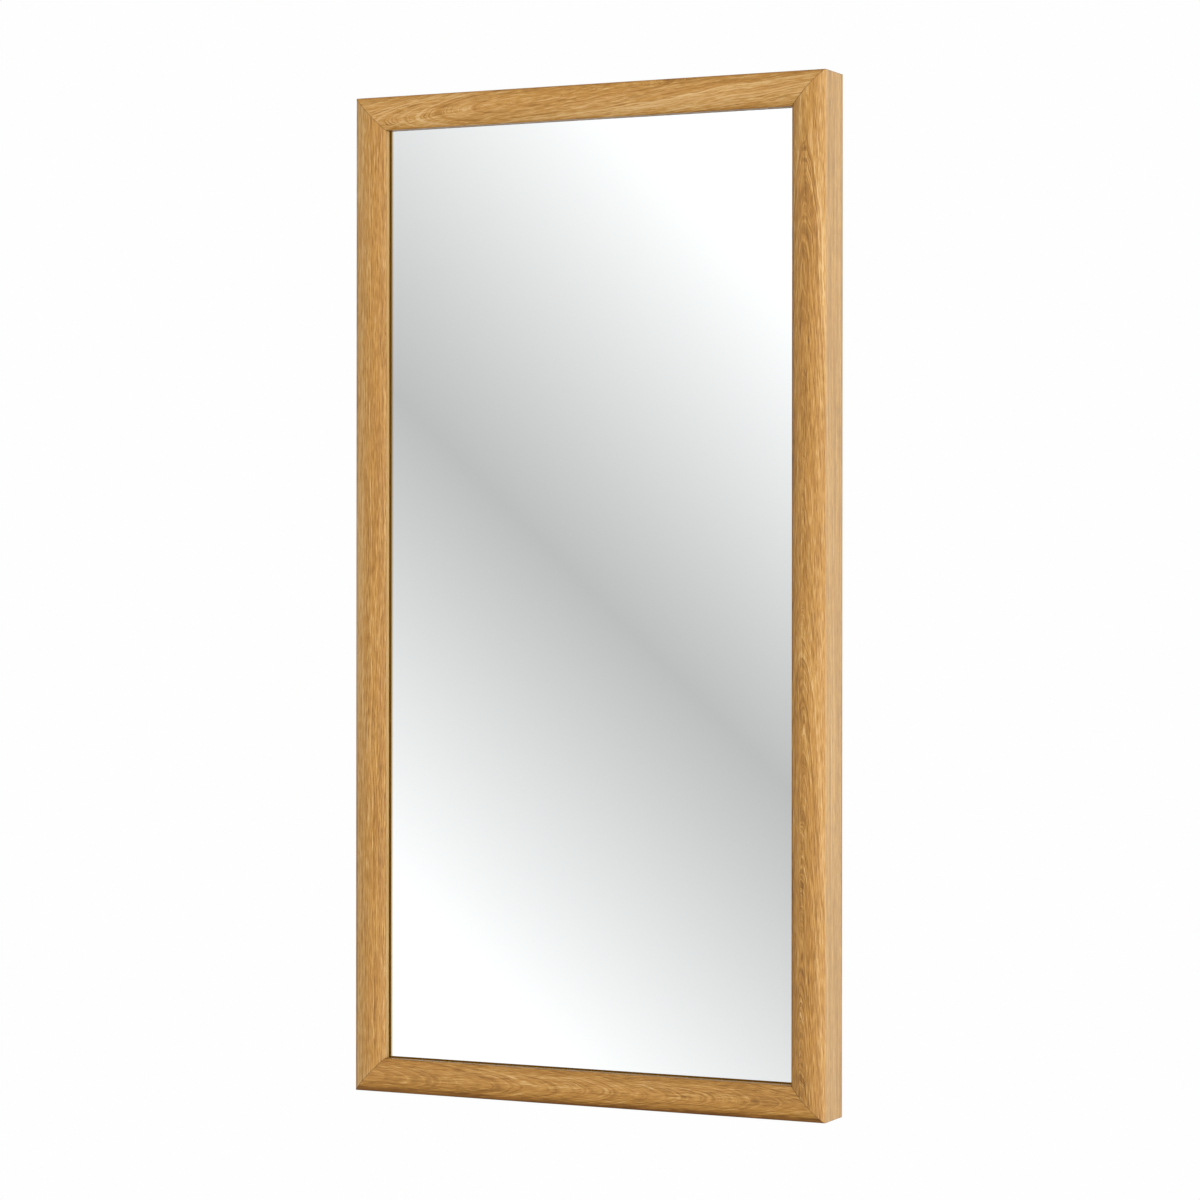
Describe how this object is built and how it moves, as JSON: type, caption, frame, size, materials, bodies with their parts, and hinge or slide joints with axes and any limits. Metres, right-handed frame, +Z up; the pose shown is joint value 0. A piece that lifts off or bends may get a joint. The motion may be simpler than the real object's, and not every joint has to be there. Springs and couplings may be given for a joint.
{
  "type": "wall mirror",
  "caption": "Tall rectangular wall mirror in a deep mitred oak frame with a softly crowned face, a set-back glass, a backboard held by beads, and keyhole hangers.",
  "frame": {"origin": "on the frame's back face, midway between the entry holes of the two keyhole hangers", "axes": "+Z up along the mirror's height, +Y out of the back towards the wall, +X to the viewer's right; the mirror faces -Y"},
  "size_m": [0.6, 0.064, 1.18],
  "materials": {
    "oak": "oiled solid oak, satin",
    "beech": "plain turned beech",
    "clear_glass": "polished float glass",
    "silvering": "silvered, with grey paint behind",
    "rubber": "matt black rubber",
    "foam_tape": "white foam tape",
    "fibreboard": "raw medium-density fibreboard",
    "pine": "planed pine",
    "zinc_steel": "bright zinc plate",
    "felt": "dark grey felt"
  },
  "bodies": {
    "root": {"left_stile": "oak", "right_stile": "oak", "top_rail": "oak", "bottom_rail": "oak", "top_left_dowels": "beech", "top_right_dowels": "beech", "bottom_left_dowels": "beech", "bottom_right_dowels": "beech", "mirror_glass": "clear_glass", "silver_coating": "silvering", "setting_blocks": "rubber", "side_blocks": "rubber", "mounting_tapes": "foam_tape", "backboard": "fibreboard", "left_bead": "pine", "right_bead": "pine", "top_bead": "pine", "bottom_bead": "pine", "bead_screws": "zinc_steel", "left_hanger": "zinc_steel", "right_hanger": "zinc_steel", "hanger_screws": "zinc_steel", "wall_pads": "felt"}
  },
  "joints": []
}
